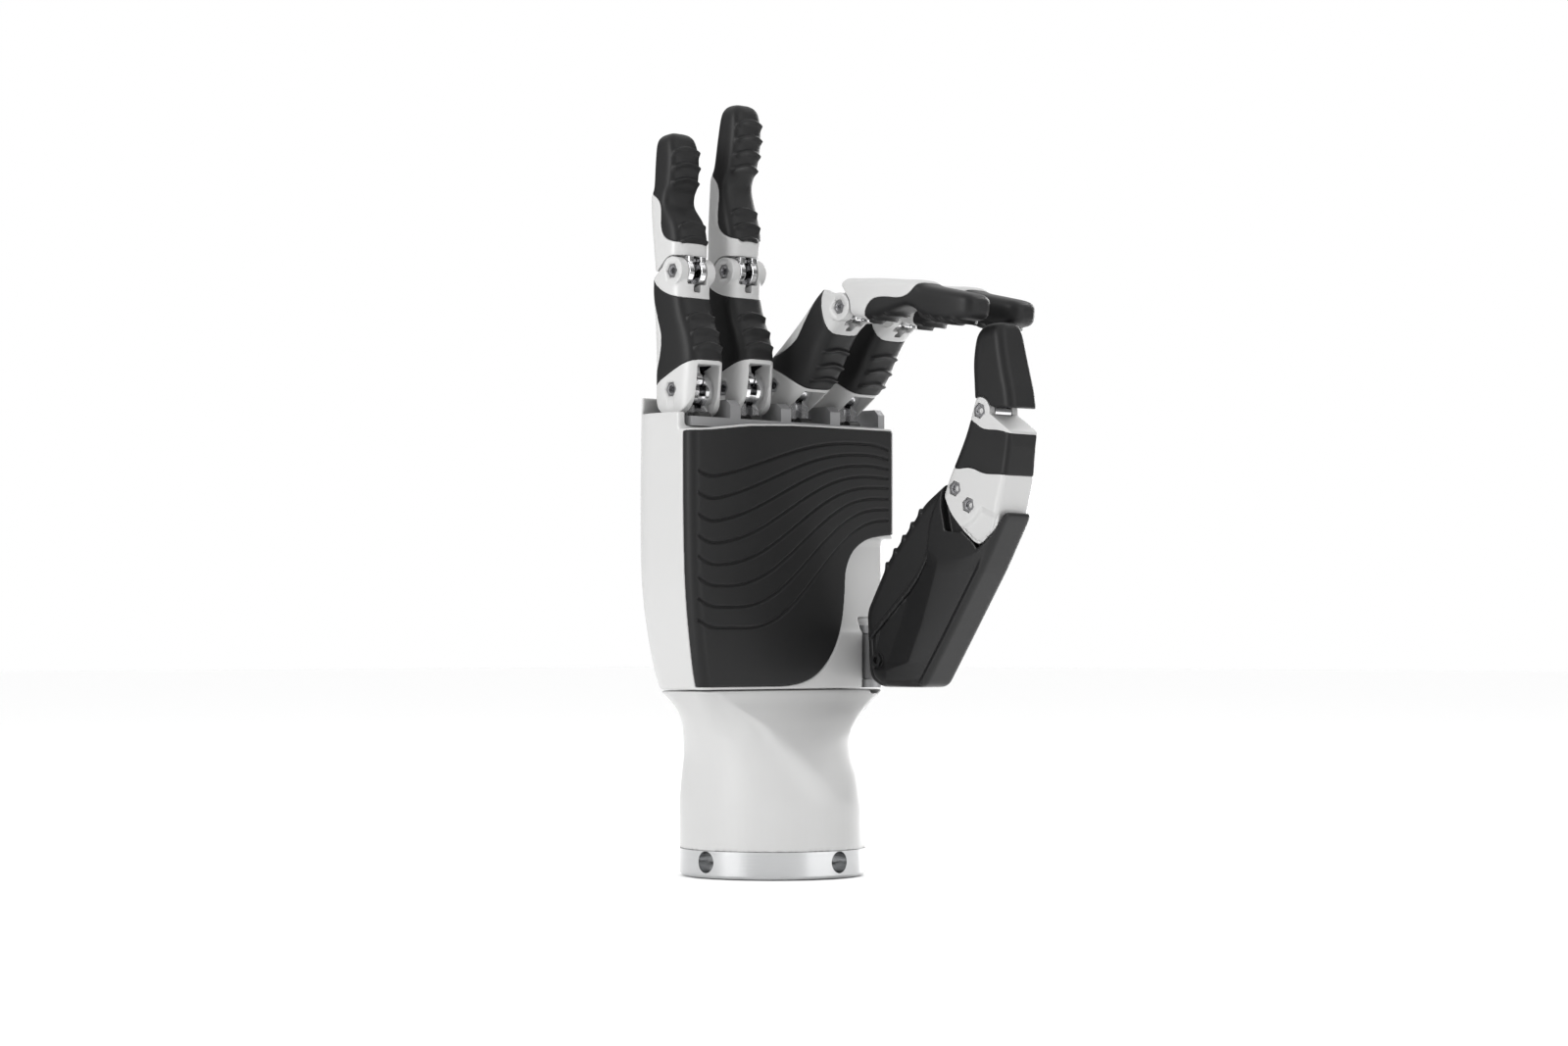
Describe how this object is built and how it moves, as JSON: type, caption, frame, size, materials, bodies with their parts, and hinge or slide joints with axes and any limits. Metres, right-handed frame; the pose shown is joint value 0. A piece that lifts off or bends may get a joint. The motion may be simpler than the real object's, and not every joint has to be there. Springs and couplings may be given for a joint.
{
  "type": "dexterous robot hand",
  "caption": "Jointed right hand for a robot arm: linked fingers and an opposing thumb on a padded palm with a round wrist flange.",
  "frame": {"origin": "centre of the wrist flange's lower face", "axes": "+Z from the wrist to the fingertips, the palm faces -Y, the thumb is at +X"},
  "size_m": [0.082, 0.1036, 0.2171],
  "materials": {
    "white_shell": "smooth satin-gloss moulding",
    "black_rubber": "matte soft-touch rubber",
    "black_shell": "satin",
    "dark_plastic": "matte",
    "chrome": "polished",
    "steel": "turned",
    "grey_metal": "satin",
    "flange_aluminium": "turned and clear anodised",
    "board": "solder-masked board"
  },
  "bodies": {
    "palm": {"wrist_flange": "flange_aluminium", "flange_screws": "steel", "wrist_connector": "dark_plastic", "wrist_housing": "white_shell", "control_board": "board", "palm_housing": "white_shell", "palm_pad": "black_rubber", "back_cover": "white_shell", "cover_screws": "steel", "knuckle_frame": "grey_metal", "knuckle_lugs": "chrome", "knuckle_bumpers": "dark_plastic", "link_anchor_pins": "steel", "finger_actuators": "steel", "thumb_brackets": "grey_metal", "thumb_pivot_pin": "steel"},
    "little_near": {"little_frame": "white_shell", "little_grip": "black_rubber", "little_knuckle_pin": "steel"},
    "little_far": {"little_hinge": "chrome", "little_hinge_pins": "steel", "little_shell": "white_shell", "little_tip": "black_rubber"},
    "little_drive": {"little_link": "chrome"},
    "ring_near": {"ring_frame": "white_shell", "ring_grip": "black_rubber", "ring_knuckle_pin": "steel"},
    "ring_far": {"ring_hinge": "chrome", "ring_hinge_pins": "steel", "ring_shell": "white_shell", "ring_tip": "black_rubber"},
    "ring_drive": {"ring_link": "chrome"},
    "middle_near": {"middle_frame": "white_shell", "middle_grip": "black_rubber", "middle_knuckle_pin": "steel"},
    "middle_far": {"middle_hinge": "chrome", "middle_hinge_pins": "steel", "middle_shell": "white_shell", "middle_tip": "black_rubber"},
    "middle_drive": {"middle_link": "chrome"},
    "index_near": {"index_frame": "white_shell", "index_grip": "black_rubber", "index_knuckle_pin": "steel"},
    "index_far": {"index_hinge": "chrome", "index_hinge_pins": "steel", "index_shell": "white_shell", "index_tip": "black_rubber"},
    "index_drive": {"index_link": "chrome"},
    "thumb_base": {"thumb_swivel": "grey_metal", "thumb_housing": "black_shell", "thumb_thenar_pad": "black_rubber", "thumb_swivel_bolt": "steel"},
    "thumb_near": {"thumb_frame": "white_shell", "thumb_grip": "black_rubber", "thumb_knuckle_pins": "steel"},
    "thumb_far": {"thumb_hinge": "chrome", "thumb_hinge_pins": "steel", "thumb_tip": "black_rubber"}
  },
  "joints": [
    {"name": "little_knuckle", "type": "hinge", "parent": "palm", "child": "little_near", "pos_m": [-0.03, 0.003, 0.1353], "axis": [1, 0, 0], "range_deg": [0, 82]},
    {"name": "little_middle_joint", "type": "hinge", "parent": "little_near", "child": "little_far", "pos_m": [-0.03, 0.003, 0.1683], "axis": [1, 0, 0], "range_deg": [0, 72.5]},
    {"name": "little_link_swing", "type": "hinge", "parent": "palm", "child": "little_drive", "pos_m": [-0.03, 0.0005, 0.1382], "axis": [1, 0, 0], "range_deg": [0, 101]},
    {"name": "ring_knuckle", "type": "hinge", "parent": "palm", "child": "ring_near", "pos_m": [-0.01, 0.003, 0.1366], "axis": [1, 0, 0], "range_deg": [0, 82]},
    {"name": "ring_middle_joint", "type": "hinge", "parent": "ring_near", "child": "ring_far", "pos_m": [-0.01, 0.003, 0.1696], "axis": [1, 0, 0], "range_deg": [0, 72.5]},
    {"name": "ring_link_swing", "type": "hinge", "parent": "palm", "child": "ring_drive", "pos_m": [-0.01, 0.0005, 0.1395], "axis": [1, 0, 0], "range_deg": [0, 101]},
    {"name": "middle_knuckle", "type": "hinge", "parent": "palm", "child": "middle_near", "pos_m": [0.01, 0.003, 0.1385], "axis": [1, 0, 0], "range_deg": [-51, 0]},
    {"name": "middle_middle_joint", "type": "hinge", "parent": "middle_near", "child": "middle_far", "pos_m": [0.01, -0.02265, 0.15927], "axis": [1, 0, 0], "range_deg": [-45, 0]},
    {"name": "middle_link_swing", "type": "hinge", "parent": "palm", "child": "middle_drive", "pos_m": [0.01, 0.0005, 0.1414], "axis": [1, 0, 0], "range_deg": [-63, 0]},
    {"name": "index_knuckle", "type": "hinge", "parent": "palm", "child": "index_near", "pos_m": [0.03, 0.003, 0.138], "axis": [1, 0, 0], "range_deg": [-51, 0]},
    {"name": "index_middle_joint", "type": "hinge", "parent": "index_near", "child": "index_far", "pos_m": [0.03, -0.02265, 0.15877], "axis": [1, 0, 0], "range_deg": [-45, 0]},
    {"name": "index_link_swing", "type": "hinge", "parent": "palm", "child": "index_drive", "pos_m": [0.03, 0.0005, 0.1409], "axis": [1, 0, 0], "range_deg": [-63, 0]},
    {"name": "thumb_turn", "type": "hinge", "parent": "palm", "child": "thumb_base", "pos_m": [0.0315, -0.0078, 0.062], "axis": [0, 0, 1], "range_deg": [0, 90]},
    {"name": "thumb_bend", "type": "hinge", "parent": "thumb_base", "child": "thumb_near", "pos_m": [0.02, -0.05729, 0.10751], "axis": [-1, 0, 0], "range_deg": [-30, 0]},
    {"name": "thumb_tip_joint", "type": "hinge", "parent": "thumb_near", "child": "thumb_far", "pos_m": [0.02, -0.06579, 0.12856], "axis": [-1, 0, 0], "range_deg": [-12, 0]}
  ],
  "couplings": [
    {"joint": "little_middle_joint", "follows": "little_knuckle", "ratio": 0.88},
    {"joint": "little_link_swing", "follows": "little_knuckle", "ratio": 1.228},
    {"joint": "ring_middle_joint", "follows": "ring_knuckle", "ratio": 0.88},
    {"joint": "ring_link_swing", "follows": "ring_knuckle", "ratio": 1.228},
    {"joint": "middle_middle_joint", "follows": "middle_knuckle", "ratio": 0.88},
    {"joint": "middle_link_swing", "follows": "middle_knuckle", "ratio": 1.228},
    {"joint": "index_middle_joint", "follows": "index_knuckle", "ratio": 0.88},
    {"joint": "index_link_swing", "follows": "index_knuckle", "ratio": 1.228},
    {"joint": "thumb_tip_joint", "follows": "thumb_bend", "ratio": 0.4}
  ]
}
